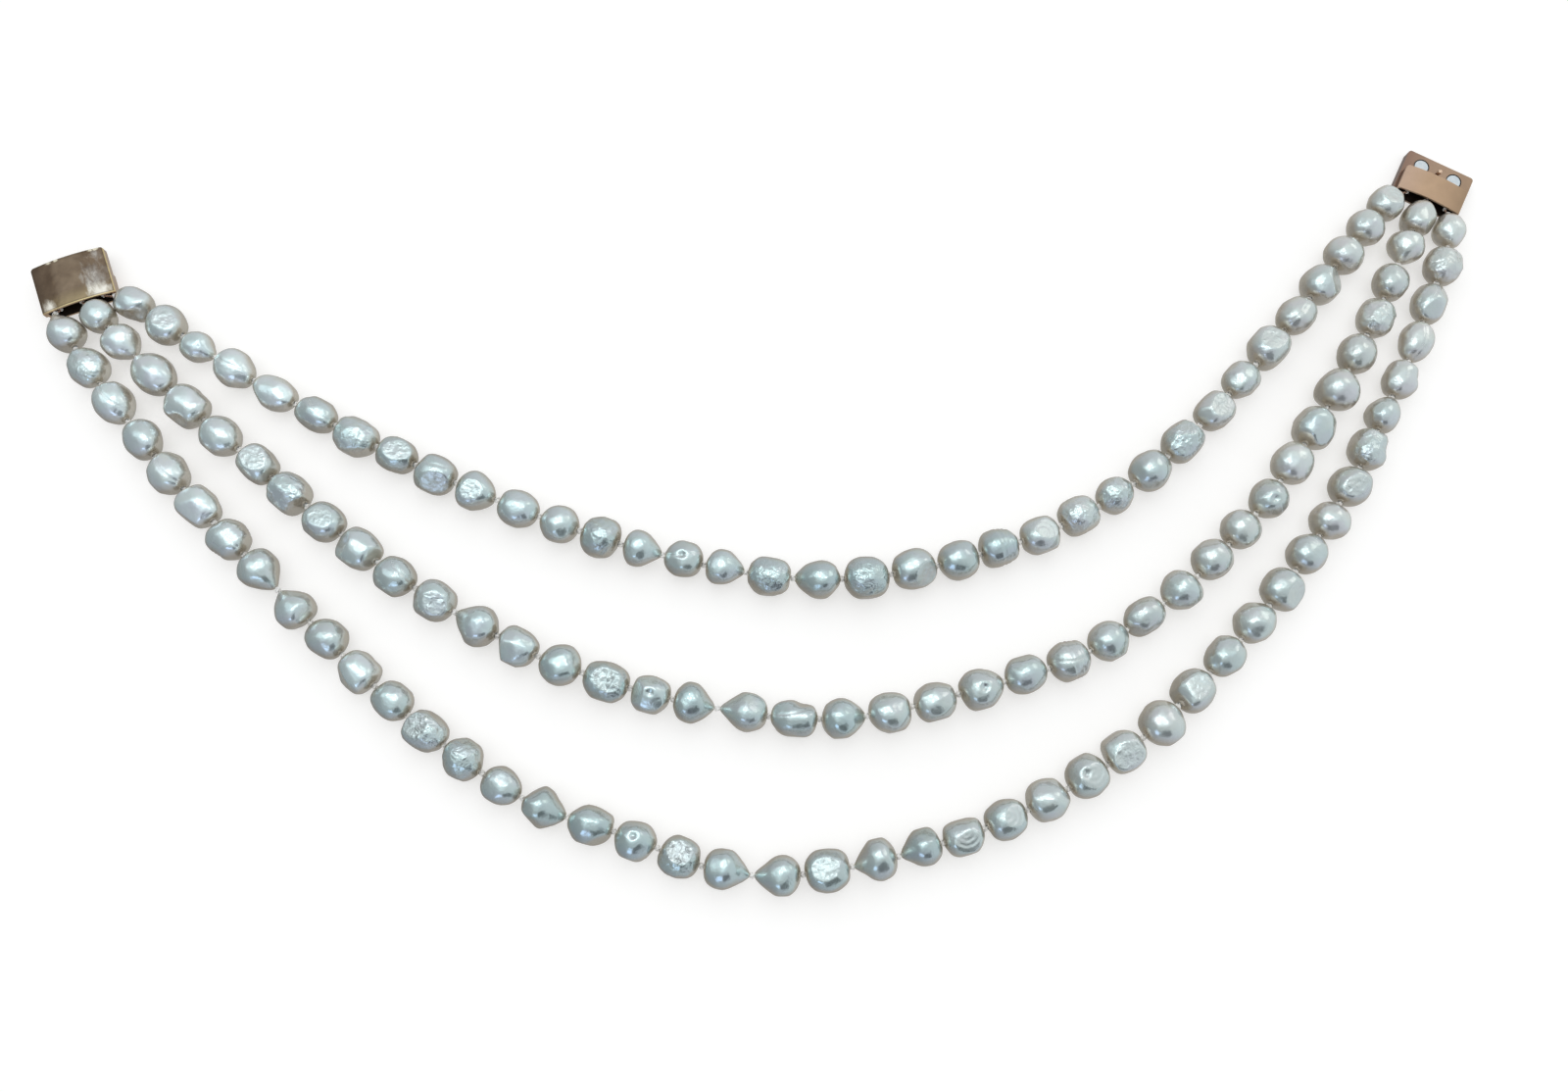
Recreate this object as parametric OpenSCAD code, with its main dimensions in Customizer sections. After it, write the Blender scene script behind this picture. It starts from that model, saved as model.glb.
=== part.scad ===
// Three-strand necklace of freshwater pearls, knotted on silk and laid open flat in
// three nested curves, with the two parted halves of its magnetic clasp at the ends.
// Millimetres. +X runs to the right along the longest extent, +Y from the lowest
// curve towards the clasp, +Z up. The origin is on the table, under the middle of
// the whole necklace.

/* [Pearls] */
// Length of a middling pearl along its thread
pearl_len = 10; // [9.8:0.1:11.5]
// Width of a middling pearl across its thread
pearl_w = 9.5; // [8:0.1:9.6]
// Diameter of the hole drilled through each pearl
drill_d = 1.25; // [1.1:0.05:1.4]
// Width of the flat ring round each drilled hole
drill_rim = 0.25; // [0.15:0.05:0.5]
// Clear length between two pearls, which a knot takes up
knot_gap = 1; // [0.85:0.05:1.6]
// How far a small pearl can sag on the silk below the mean height of its neighbours
sag = 0.25; // [0:0.05:0.3]

/* [Silk] */
// Diameter of the doubled silk thread
thread_d = 0.6; // [0.4:0.05:0.7]
// Diameter of a knot
knot_d = 1.5; // [1:0.05:1.7]
// Clearance of the silk from the pearls and from the clasp's eyes
silk_clear = 0.12; // [0.1:0.01:0.2]

/* [Clasp body] */
// Width of the clasp across the strands
clasp_w = 18; // [17:0.1:19.5]
// Length of each half from its mouth to its free edge
half_len = 12.5; // [12:0.1:15]
// Height of the closed clasp at its middle
clasp_h = 5.4; // [5:0.1:7]
// Rise of the arched top across the clasp's width
arch_rise = 1; // [0.4:0.1:1.4]
// Length of the hollow strand box behind the mouth
box_len = 7; // [6.5:0.1:7.2]
// Step from the plate's edge in to the strand box, on each side
box_step = 0.6; // [0.3:0.1:1]
// Thickness of the box's sheet metal
sheet_t = 0.5; // [0.4:0.05:0.7]
// Radius of the plate's corners, seen from above
corner_r = 0.8; // [0.4:0.1:1.5]

/* [Magnets and catch] */
// Diameter of the four disc magnets
magnet_d = 4; // [3:0.1:4.4]
// Thickness of a magnet
magnet_h = 1.5; // [1:0.1:1.8]
// Distance between the two magnets of one half, as a share of the clasp's width
magnet_spread = 0.5; // [0.4:0.01:0.55]
// Metal left between a magnet's seat and the free edge
magnet_margin = 1.1; // [0.6:0.05:1.2]
// Clearance round and under a magnet in its seat
magnet_clear = 0.05; // [0.03:0.01:0.1]
// Diameter of the catch pin's shank
pin_d = 0.8; // [0.6:0.05:1]
// Diameter of the catch pin's ball head
pin_head_d = 1.3; // [1.1:0.05:1.6]
// Height of the catch pin above the plate
pin_h = 1.7; // [1.5:0.05:1.9]
// Depth of the catch pin's foot in the plate
pin_foot = 1.2; // [0.8:0.1:1.6]
// Clearance round the catch pin's foot, and round its head in the cover
pin_clear = 0.05; // [0.03:0.01:0.1]

/* [Strand eyes] */
// Diameter of the wire of the eyes that hold the strands
eye_wire_d = 0.8; // [0.6:0.05:1]
// Width of an eye over its wire
eye_w = 3; // [2.8:0.05:3.4]
// Distance from the mouth in to the middle of an eye's bent end
eye_depth = 2.4; // [2.2:0.1:3]

/* [Hidden] */
$fn = 48;

// One pearl with its knot: the unit of length of the routes below
step = pearl_len + knot_gap;

// Forms of pearl. Columns: letter, taper (how much narrower the right end is),
// fullness (2 is an ellipse, more is blunter), groove (depth of a ring groove),
// crown and sole (how high above and below the thread the top and bottom are
// flattened; a crown of 1.1 leaves the top round). The last three are shares of
// the half width.
FORMS = [
    ["r",  0.00, 2.00, 0.00, 1.10, 0.99],
    ["o",  0.00, 2.15, 0.00, 1.10, 0.99],
    ["e",  0.14, 2.00, 0.00, 1.10, 0.99],
    ["a", -0.14, 2.00, 0.00, 1.10, 0.99],
    ["d",  0.28, 1.95, 0.00, 1.10, 0.98],
    ["q", -0.28, 1.95, 0.00, 1.10, 0.98],
    ["w",  0.00, 2.20, 0.05, 0.95, 0.98],
    ["h", -0.06, 2.25, 0.09, 0.92, 0.96],
    ["n",  0.06, 2.45, 0.00, 0.88, 0.92],
    ["b",  0.00, 2.30, 0.00, 0.84, 0.94]
];
TAPER = 1;
FULLNESS = 2;
GROOVE = 3;
CROWN = 4;
SOLE = 5;

// Bands of a pearl's turned profile, where its groove lies and how wide that is,
// both as shares of the half length, and the angle at which the profile starts
bands = 14;
groove_place_share = 0.15;
groove_spread_share = 0.2;
profile_start = 8;

// The charts give each pearl from left to right. Forms are letters of FORMS.
// A digit of a length or width chart is 80% of the middling size for 0, and
// 4% more for each step up.
least_share = 0.8;
share_step = 0.04;

inner_forms   = "hneeoobnndorwdodwawbonbnrrnboboborb";
inner_lengths = "43267665555444447887545537755764324";
inner_widths  = "15042252554464335576554546543646653";
middle_forms   = "oeohrbnbnrwqnrbndqheoneowroarrronrrwran";
middle_lengths = "168665556557558459865665445554466765444";
middle_widths  = "135653555556465454356464552566566854442";
outer_forms   = "qaeronwdqrhonrednrbdqbqqbbnbnrbarbrrbhehaowr";
outer_lengths = "66765557654455565558765445555666655345346664";
outer_widths  = "34445455545345254445466435665854565565232341";

// Where the silk leaves the last pearl for the clasp: how much of its height comes
// from the pearl, the rest being the eye's
end_share = 0.65;

// The routes give a few chosen knots. Columns: knot number, which is the number of
// pearls to its left, then x and y in steps of one pearl and knot.
inner_route = [
    [ 0, -14.73,  4.42],
    [ 1, -13.83,  3.98],
    [ 2, -13.10,  3.40],
    [ 6,  -9.60,  1.40],
    [10,  -6.00, -0.25],
    [14,  -2.40, -1.45],
    [18,   1.45, -1.95],
    [22,   5.35, -1.10],
    [25,   7.90,  0.20],
    [28,  10.20,  2.30],
    [32,  12.85,  5.35],
    [34,  14.00,  6.75],
    [35,  14.60,  7.35]
];
middle_route = [
    [ 0, -15.30,  4.20],
    [ 2, -14.05,  2.90],
    [ 6, -10.85,  0.20],
    [10,  -7.65, -2.20],
    [14,  -4.05, -4.00],
    [19,   0.95, -4.95],
    [23,   4.90, -4.15],
    [25,   6.75, -3.50],
    [28,   9.20, -1.85],
    [31,  11.20,  0.30],
    [35,  13.50,  3.75],
    [37,  14.40,  5.50],
    [39,  15.24,  7.12]
];
outer_route = [
    [ 0, -16.02,  3.97],
    [ 1, -15.40,  3.10],
    [ 4, -13.40,  0.65],
    [ 8, -10.55, -2.25],
    [12,  -7.65, -4.90],
    [15,  -5.20, -6.60],
    [17,  -3.30, -7.25],
    [20,  -0.45, -8.15],
    [24,   3.50, -7.50],
    [28,   7.00, -5.90],
    [32,  10.05, -3.25],
    [36,  12.50, -0.20],
    [40,  14.40,  3.15],
    [42,  15.25,  5.05],
    [43,  15.65,  5.95],
    [44,  15.80,  6.85]
];

// What the routes and the clasp are shifted by, in steps, so that the origin is
// under the middle of the necklace
shift = [0.04, 0.02];

// Where the middle of each half's mouth lies, in steps, and how far it is turned
cover_place = [-15.45, 4.20, 21];
base_place = [15.30, 7.15, -27];

// A strand. Columns: forms, lengths, widths, route, and which eye of each half it
// ties to, counted from the middle one along the half's own x axis
INNER = [inner_forms, inner_lengths, inner_widths, inner_route, 1, -1];
MIDDLE = [middle_forms, middle_lengths, middle_widths, middle_route, 0, 0];
OUTER = [outer_forms, outer_lengths, outer_widths, outer_route, -1, 1];
FORM_CHART = 0;
LENGTH_CHART = 1;
WIDTH_CHART = 2;
ROUTE = 3;
COVER_EYE = 4;
BASE_EYE = 5;

// Derived sizes of the clasp
lip_h = clasp_h / 2;
box_w = clasp_w - 2 * box_step;
arch_r = (pow(clasp_w / 2, 2) + pow(arch_rise, 2)) / (2 * arch_rise);
magnet_space = magnet_spread * clasp_w;
magnet_y = half_len - magnet_margin - magnet_d / 2;
seat_d = magnet_d + 2 * magnet_clear;
seat_h = magnet_h + 2 * magnet_clear;
eye_space = (box_w - 2 * sheet_t) / 3;
eye_z = clasp_h / 2;
eye_r = (eye_w - eye_wire_d) / 2;

// Path of the silk round an eye's wire, and the tied knot in front of it
loop_r = eye_wire_d / 2 + thread_d / 2 + silk_clear;
loop_angles = [50, 90, 135, 180, 225, 270, 310];
tie_y = eye_depth - loop_r - knot_gap / 2 - silk_clear;
knot_half = knot_gap / 2 - silk_clear;
thread_sides = 6;

// How far a cutting solid runs past the face that it cuts
past = 1;

// Charted sizes and forms

function charted(chart, i) = least_share + share_step * (ord(chart[i]) - ord("0"));

function pearl_count(strand) = len(strand[FORM_CHART]);

function form_of(strand, i) = FORMS[search(strand[FORM_CHART][i], FORMS, 1, 0)[0]];

function width_of(strand, i) = pearl_w * charted(strand[WIDTH_CHART], i);

// Height of the thread where pearl i lies on the table by itself
function own_height(strand, i) = form_of(strand, i)[SOLE] * width_of(strand, i) / 2;

// The same on the string, where a small pearl is held up by its neighbours
function rest_height(strand, i) =
    let (
        before = own_height(strand, max(i - 1, 0)),
        after = own_height(strand, min(i + 1, pearl_count(strand) - 1))
    )
    max(own_height(strand, i), (before + after) / 2 - sag);

// Routes: the chosen knots are joined by smooth curves, and the knots between them
// are spread by the charted lengths of the pearls

function running_length(strand) = [
    for (i = 0, total = 0;
         i <= pearl_count(strand);
         total = total + (i < pearl_count(strand)
             ? pearl_len * charted(strand[LENGTH_CHART], i) + knot_gap : 0),
         i = i + 1)
        total
];

function flat_point(stop) = ([stop[1], stop[2]] + shift) * step;

function unit(v) = v / norm(v);

// Direction of a route at stop j, from its neighbours on both sides
function heading_at(route, j) = unit(
    flat_point(route[min(j + 1, len(route) - 1)]) - flat_point(route[max(j - 1, 0)])
);

function curve_point(route, j, u) =
    let (
        a = flat_point(route[j]),
        b = flat_point(route[j + 1]),
        chord = norm(b - a),
        go_a = heading_at(route, j) * chord,
        go_b = heading_at(route, j + 1) * chord
    )
    (2 * pow(u, 3) - 3 * pow(u, 2) + 1) * a
    + (pow(u, 3) - 2 * pow(u, 2) + u) * go_a
    + (3 * pow(u, 2) - 2 * pow(u, 3)) * b
    + (pow(u, 3) - pow(u, 2)) * go_b;

// All the knots of a strand, seen from above
function flat_knots(strand) =
    let (route = strand[ROUTE], run = running_length(strand))
    [
        for (j = [0:len(route) - 2])
            let (first = route[j][0], last = route[j + 1][0])
            for (k = [first:last - (j < len(route) - 2 ? 1 : 0)])
                curve_point(route, j, (run[k] - run[first]) / (run[last] - run[first]))
    ];

// Height of knot k: midway between its two pearls, or between a pearl and an eye
function knot_height(strand, k) =
    let (n = pearl_count(strand))
    k == 0 || k == n
        ? end_share * rest_height(strand, min(k, n - 1)) + (1 - end_share) * eye_z
        : (rest_height(strand, k - 1) + rest_height(strand, k)) / 2;

function knots(strand) =
    let (flat = flat_knots(strand))
    [for (k = [0:len(flat) - 1]) [flat[k][0], flat[k][1], knot_height(strand, k)]];

// Pearls

function profile(form, l, w) =
    let (
        power = 2 / form[FULLNESS],
        turn = [for (i = [0:bands])
            profile_start + (180 - 2 * profile_start) * i / bands],
        along = [for (a = turn) -sign(cos(a)) * pow(abs(cos(a) / cos(profile_start)), power)],
        raw = [for (i = [0:bands])
            pow(sin(turn[i]), power)
            * (1 - form[TAPER] * along[i])
            * (1 - form[GROOVE] * exp(-pow((along[i] - groove_place_share) / groove_spread_share, 2)))],
        widest = max(raw)
    )
    [for (i = [0:bands])
        [max(raw[i] / widest * w / 2, drill_d / 2 + drill_rim), along[i] * l / 2]];

// A pearl turned about its thread, which runs along x, with the hole in its profile
module turned_pearl(form, l, w)
    rotate([0, 90, 0])
        rotate_extrude()
            polygon(concat(
                [[drill_d / 2, -l / 2]],
                profile(form, l, w),
                [[drill_d / 2, l / 2]]
            ));

// A pearl on its tilted and turned stretch of thread. Its flattened top and bottom lie level.
module pearl(form, l, w, tilt, turn)
    intersection() {
        rotate([0, -tilt, turn])
            turned_pearl(form, l, w);
        translate([-l, -l, -form[SOLE] * w / 2])
            cube([2 * l, 2 * l, (form[SOLE] + form[CROWN]) * w / 2]);
    }

module pearls(strand) {
    ends = knots(strand);
    color("ghostwhite")
        for (i = [0:pearl_count(strand) - 1]) {
            way = ends[i + 1] - ends[i];
            middle = (ends[i + 1] + ends[i]) / 2;
            translate([middle[0], middle[1], rest_height(strand, i)])
                pearl(
                    form_of(strand, i), norm(way) - knot_gap, width_of(strand, i),
                    asin(way[2] / norm(way)), atan2(way[1], way[0])
                );
        }
}

module pearls_inner() pearls(INNER);
module pearls_middle() pearls(MIDDLE);
module pearls_outer() pearls(OUTER);

// Silk: a tube through rings, each given as centre, radius and the way it heads

// A point of a clasp half's own frame, in the necklace's frame
function in_half(place, p) = [
    (place[0] + shift[0]) * step + p[0] * cos(place[2]) - p[1] * sin(place[2]),
    (place[1] + shift[1]) * step + p[0] * sin(place[2]) + p[1] * cos(place[2]),
    p[2]
];

// Loop round an eye's wire, from its top round the back to its bottom
function eye_loop(place, eye, heading) = [
    for (a = loop_angles)
        [in_half(place, [eye * eye_space, eye_depth - loop_r * cos(a), eye_z + loop_r * sin(a)]),
         thread_d / 2, heading]
];

function backwards(list) = [for (i = [len(list) - 1:-1:0]) list[i]];

function knot_rings(p, way, heading) = [
    [p - way * knot_half, thread_d / 2, heading],
    [p, knot_d / 2, heading],
    [p + way * knot_half, thread_d / 2, heading]
];

function tied_knot(place, eye, side, heading) = knot_rings(
    in_half(place, [eye * eye_space, tie_y, eye_z]),
    [-side * sin(place[2]), side * cos(place[2]), 0],
    heading
);

function heading_of(v) = atan2(v[1], v[0]);

// Pearl centres and knots in turn, with the two bare ends outside the outermost pearls
function strung_rings(strand) =
    let (ends = knots(strand), n = pearl_count(strand))
    [
        for (k = [0:n])
            let (
                before = ends[max(k - 1, 0)],
                after = ends[min(k + 1, n)],
                heading = heading_of(after - before)
            )
            each concat(
                k == 0 || k == n
                    ? [[ends[k], thread_d / 2, heading]]
                    : knot_rings(ends[k], unit(after - before), heading),
                k == n ? [] : [[
                    [(ends[k][0] + after[0]) / 2, (ends[k][1] + after[1]) / 2,
                     rest_height(strand, k)],
                    thread_d / 2, heading_of(after - ends[k])
                ]]
            )
    ];

function silk_rings(strand) =
    let (out = cover_place[2] - 90, in = base_place[2] + 90)
    concat(
        backwards(eye_loop(cover_place, strand[COVER_EYE], out)),
        tied_knot(cover_place, strand[COVER_EYE], -1, out),
        strung_rings(strand),
        tied_knot(base_place, strand[BASE_EYE], 1, in),
        eye_loop(base_place, strand[BASE_EYE], in)
    );

function ring_points(rings, i) =
    let (
        way = unit(rings[min(i + 1, len(rings) - 1)][0] - rings[max(i - 1, 0)][0]),
        level = [-sin(rings[i][2]), cos(rings[i][2]), 0],
        side = unit(level - way * (way * level)),
        up = cross(way, side)
    )
    [for (s = [0:thread_sides - 1])
        let (a = 360 * s / thread_sides)
        rings[i][0] + rings[i][1] * (cos(a) * side + sin(a) * up)];

module tube(rings) {
    n = thread_sides;
    last = (len(rings) - 1) * n;
    polyhedron(
        points = [for (i = [0:len(rings) - 1]) each ring_points(rings, i)],
        faces = concat(
            [[for (s = [0:n - 1]) s]],
            [for (i = [0:len(rings) - 2])
                for (s = [0:n - 1])
                    let (
                        a = i * n + s,
                        b = i * n + (s + 1) % n
                    )
                    each [[a, a + n, b], [b, a + n, b + n]]],
            [[for (s = [n - 1:-1:0]) last + s]]
        )
    );
}

module silk(strand)
    color("seashell")
        tube(silk_rings(strand));

module thread_inner() silk(INNER);
module thread_middle() silk(MIDDLE);
module thread_outer() silk(OUTER);

// Clasp. Each half has its own frame: x across, y from the mouth in, z up.

module place_half(place)
    translate(in_half(place, [0, 0, 0]))
        rotate([0, 0, place[2]])
            children();

// A slab from the mouth to y = length, with its two far corners rounded
module slab(w, length, z_low, z_high)
    translate([0, 0, z_low])
        linear_extrude(z_high - z_low)
            union() {
                translate([-w / 2, 0])
                    square([w, length - corner_r]);
                translate([-w / 2 + corner_r, 0])
                    square([w - 2 * corner_r, length]);
                for (side = [-1, 1])
                    translate([side * (w / 2 - corner_r), length - corner_r])
                        circle(corner_r);
            }

// The space under the arched top, lowered by drop
module under_arch(drop)
    translate([0, -past, clasp_h - arch_r])
        rotate([-90, 0, 0])
            cylinder(r = arch_r - drop, h = half_len + 2 * past, $fn = 96);

// The hollow of the strand box, open at the mouth
module strand_hollow()
    intersection() {
        translate([-box_w / 2 + sheet_t, -past, sheet_t])
            cube([box_w - 2 * sheet_t, box_len - sheet_t + past, clasp_h]);
        under_arch(sheet_t);
    }

// A long eye of bent wire, soldered to the box's back wall
module strand_eye() {
    translate([0, eye_depth + eye_r, eye_z])
        rotate([0, 0, 180])
            rotate_extrude(angle = 180)
                translate([eye_r, 0])
                    circle(d = eye_wire_d, $fn = 24);
    for (side = [-1, 1])
        translate([side * eye_r, eye_depth + eye_r, eye_z])
            rotate([-90, 0, 0])
                cylinder(d = eye_wire_d, h = box_len - sheet_t / 2 - eye_depth - eye_r, $fn = 24);
}

module strand_eyes()
    for (eye = [-1:1])
        translate([eye * eye_space, 0, 0])
            strand_eye();

// Left half, seen from its polished arched top: a full plate above, the box below
module clasp_cover()
    color("rosybrown")
        place_half(cover_place) {
            difference() {
                union() {
                    intersection() {
                        slab(clasp_w, half_len, lip_h, clasp_h + past);
                        under_arch(0);
                    }
                    slab(box_w, box_len, 0, lip_h);
                }
                strand_hollow();
                for (side = [-1, 1])
                    translate([side * magnet_space / 2, magnet_y, lip_h - past])
                        cylinder(d = seat_d, h = seat_h + past);
                translate([0, magnet_y, lip_h - past])
                    cylinder(d = pin_head_d + 2 * pin_clear, h = pin_h + pin_clear + past, $fn = 32);
            }
            strand_eyes();
        }

// Right half, seen from the side that faces the cover: a full plate below, the box above
module clasp_base()
    color("tan")
        place_half(base_place) {
            difference() {
                union() {
                    slab(clasp_w, half_len, 0, lip_h);
                    intersection() {
                        slab(box_w, box_len, lip_h, clasp_h + past);
                        under_arch(0);
                    }
                }
                strand_hollow();
                for (side = [-1, 1])
                    translate([side * magnet_space / 2, magnet_y, lip_h - seat_h])
                        cylinder(d = seat_d, h = seat_h + past);
                translate([0, magnet_y, lip_h - pin_foot - pin_clear])
                    cylinder(d = pin_d + 2 * pin_clear, h = pin_foot + pin_clear + past, $fn = 32);
            }
            strand_eyes();
        }

module magnet(place, side, z_low)
    color("lightsteelblue")
        place_half(place)
            translate([side * magnet_space / 2, magnet_y, z_low])
                cylinder(d = magnet_d, h = magnet_h);

module cover_magnet_left() magnet(cover_place, -1, lip_h + magnet_clear);
module cover_magnet_right() magnet(cover_place, 1, lip_h + magnet_clear);
module base_magnet_left() magnet(base_place, -1, lip_h - magnet_clear - magnet_h);
module base_magnet_right() magnet(base_place, 1, lip_h - magnet_clear - magnet_h);

module catch_pin()
    color("peru")
        place_half(base_place)
            translate([0, magnet_y, lip_h]) {
                translate([0, 0, -pin_foot])
                    cylinder(d = pin_d, h = pin_foot + pin_h - pin_head_d / 2, $fn = 32);
                translate([0, 0, pin_h - pin_head_d / 2])
                    sphere(d = pin_head_d, $fn = 32);
            }

pearls_inner();
pearls_middle();
pearls_outer();
thread_inner();
thread_middle();
thread_outer();
clasp_cover();
cover_magnet_left();
cover_magnet_right();
clasp_base();
base_magnet_left();
base_magnet_right();
catch_pin();
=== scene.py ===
"""Looks of the three-strand pearl necklace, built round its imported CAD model.

The scene is in metres, with +X to the right, +Y towards the clasp and +Z up, as in the CAD
model. Sizes of the pieces are in millimetres, and places and sizes of the lights in metres.
"""

import math

import bmesh
import bpy
import numpy as np
from mathutils import Matrix, Vector


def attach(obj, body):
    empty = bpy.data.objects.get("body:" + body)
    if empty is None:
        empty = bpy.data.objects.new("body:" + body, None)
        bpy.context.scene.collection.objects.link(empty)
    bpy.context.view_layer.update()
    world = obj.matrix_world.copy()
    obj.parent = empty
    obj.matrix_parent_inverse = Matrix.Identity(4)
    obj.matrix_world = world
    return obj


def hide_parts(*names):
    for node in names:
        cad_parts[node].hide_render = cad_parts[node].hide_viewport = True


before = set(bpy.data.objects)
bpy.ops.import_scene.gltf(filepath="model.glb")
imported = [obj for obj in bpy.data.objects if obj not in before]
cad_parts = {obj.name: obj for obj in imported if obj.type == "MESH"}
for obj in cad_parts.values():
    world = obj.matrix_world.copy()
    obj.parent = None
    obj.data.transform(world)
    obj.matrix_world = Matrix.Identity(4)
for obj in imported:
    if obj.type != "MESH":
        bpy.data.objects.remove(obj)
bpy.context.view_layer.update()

MM = 0.001
STRANDS = ("inner", "middle", "outer")

# What each pearl shows from above, left to right: s smooth, w wrinkled, f flat face with
# wrinkles, r flat face with rings, g grooves round the thread, k many facets, p pit, l lobes
# with a notch, d flat side, c crease, n neck on the left, t taper to the left, m taper to
# the right.
FORMS = {
    "inner": (
        "l f sm sc s sc w f dc f s s w sm pc sm w st "
        "w ds s g r w w s kw f s f sc d s s r"
    ),
    "middle": (
        "s sm s l s f wk f k sc f st k s fw pk sm st lc "
        "sm s k p s gc s s s s s p s k s s w s st k"
    ),
    "outer": (
        "n w sc s sc k gc sm st s l s fw w s km kt p fw sm st f "
        "n st r r k rp f s fk s s d s s f lw s l sc kc w s"
    ),
}


# Meshes


def unit(v):
    """The vector made 1 long."""
    return v / np.linalg.norm(v)


def new_mesh(name, verts, faces):
    """A smooth mesh object from millimetre points and faces."""
    mesh = bpy.data.meshes.new(name)
    mesh.from_pydata((np.asarray(verts) * MM).tolist(), [], faces)
    mesh.validate()
    for polygon in mesh.polygons:
        polygon.use_smooth = True
    obj = bpy.data.objects.new(name, mesh)
    bpy.context.scene.collection.objects.link(obj)
    return obj


def loose_parts(node):
    """The points of each loose part of a CAD node, in millimetres, from left to right."""
    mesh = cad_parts[node].data
    places = np.empty(len(mesh.vertices) * 3)
    mesh.vertices.foreach_get("co", places)
    rounded = np.round(places.reshape(-1, 3) / MM, 3)
    points, point_of = np.unique(rounded, axis=0, return_inverse=True)
    point_of = point_of.reshape(-1)
    ends = np.empty(len(mesh.edges) * 2, int)
    mesh.edges.foreach_get("vertices", ends)
    a, b = point_of[ends].reshape(-1, 2).T

    # Points that an edge joins take the lower label, until nothing changes
    label = np.arange(len(points))
    while True:
        low = np.minimum(label[a], label[b])
        if np.array_equal(low, label[a]) and np.array_equal(low, label[b]):
            break
        np.minimum.at(label, a, low)
        np.minimum.at(label, b, low)
        label = label[label]
    parts = [points[label == k] for k in np.unique(label)]
    return sorted(parts, key=lambda p: p[:, 0].min() + p[:, 0].max())


# Pearls

# In this part p holds the points of a pearl in its own axes (along its thread, across it
# and up), and r is the pearl's radius

# Rings of points along a pearl, and points in each ring
RINGS = 33
SIDES = 60
# Share by which the points of a ring crowd together on top, where the pearl is seen
CROWDING = 0.33
# Points of the CAD solid that lie this near an end give that end's place
END_DEPTH = 0.15
# Points that the turned profile is read from: how near the pearl's level middle, as a share
# of its radius, how far from its thread, and how far from its tips; and the degree of the
# curve laid through them
PROFILE_BAND = 0.4
PROFILE_R = 1
PROFILE_SINE = 0.3
PROFILE_DEGREE = 5
# The thread's hole: its radius at the surface, then how far in its lip and its floor lie and
# the share of the width that each keeps
HOLE_R = 0.55
LIP_DEEP = 0.12
LIP_SHARE = 0.8
HOLE_DEEP = 0.7
HOLE_SHARE = 0.9
# No point lies lower than this over the table
LOWEST = 0.01
# Colour along the necklace, which is partly painted light that makes the pearls brighter and bluer at
# the left end and darker in the middle, as the light falls there: its change in a metre, and its
# random spread
TONE_SLOPE = 2.6
TONE_SPREAD = 0.12
# Pearls at each end of a string that aren't bowed
STRAIGHT_END = 3

# All sizes from here on are shares of a pearl's radius

BOW = 0.1
# Taper: letter, side, and the share of the width that it takes at the tip
TAPERS = (("n", -1, 0.75), ("t", -1, 0.4), ("m", 1, 0.4))
# Height and width of the swellings that every pearl has
SWELLINGS = ((0.035, 2.2), (0.017, 1.0), (0.005, 0.45))
# Facets: how many, least and greatest distance from the centre, softness of the edge
FEW_FACETS = (2, 0.9, 0.96, 0.14)
MANY_FACETS = (5, 0.84, 0.94, 0.09)
# Flat faces: range of their distance from the centre, and softness of the edge
FACE_NEAR = 0.76
FACE_FAR = 0.84
FACE_SOFT = 0.04
SIDE_FACE = 0.78
SIDE_SOFT = 0.05
FLAT_FADE = 0.08
# Distance from the thread beyond which a pearl's sides are flattened, so that the strings
# stay clear of each other
WIDEST = 0.98
# Low relief: height or depth, and width
FACE_WRINKLES = (0.014, 0.42)
FACE_RINGS = (0.018, 0.26)
TOP_WRINKLES = (0.016, 0.6)
SIDE_WRINKLES = (0.010, 0.6)
GROOVE = (0.05, 0.05)
GROOVE_START = 0.05
GROOVE_STEP = 0.2
CREASE = (0.03, 0.07)
MOUND = (-0.05, 0.3)
PIT = (0.2, 0.12)
NOTCH = (0.24, 0.33)


class Pearl:
    """One pearl's place, thread direction and turned profile, read from the CAD solid."""

    def __init__(self, points, before, after):
        way = unit(after - before)
        middle = (points.min(0) + points.max(0)) / 2
        for _ in range(3):
            run = (points - middle) @ way
            right = points[run > run.max() - END_DEPTH].mean(0)
            left = points[run < run.min() + END_DEPTH].mean(0)
            way = unit(right - left)
        self.left = left
        self.right = right
        self.way = way
        self.centre = (left + right) / 2
        self.half = np.linalg.norm(right - left) / 2
        side = unit(np.array([-way[1], way[0], 0.0]))
        self.axes = np.array([way, side, np.cross(way, side)])
        local = (points - self.centre) @ self.axes.T
        r = np.hypot(local[:, 1], local[:, 2])
        self.r = r.max()

        cosine = np.clip(local[:, 0] / self.half, -1, 1)
        sine = np.sqrt(1 - cosine**2)
        level = np.abs(local[:, 2]) < PROFILE_BAND * self.r
        keep = level & (r > PROFILE_R) & (sine > PROFILE_SINE)
        self.poly = np.polyfit(cosine[keep], r[keep] / sine[keep], PROFILE_DEGREE)

    def rings(self):
        """Points of the turned pearl in its own axes, ring by ring."""
        start = math.asin(HOLE_R / self.r)
        turn = np.linspace(start, math.pi - start, RINGS)
        x = -np.cos(turn)
        r = np.sin(turn) * np.polyval(self.poly, x)
        x = x * self.half / math.cos(start)
        around = np.linspace(0, 2 * math.pi, SIDES, endpoint=False)
        around = around + CROWDING * np.cos(around)
        x = x[:, None]
        r = r[:, None]
        c, s = np.cos(around), np.sin(around)
        return np.stack([x + 0 * c, r * c, r * s], 2).reshape(-1, 3)


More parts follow.
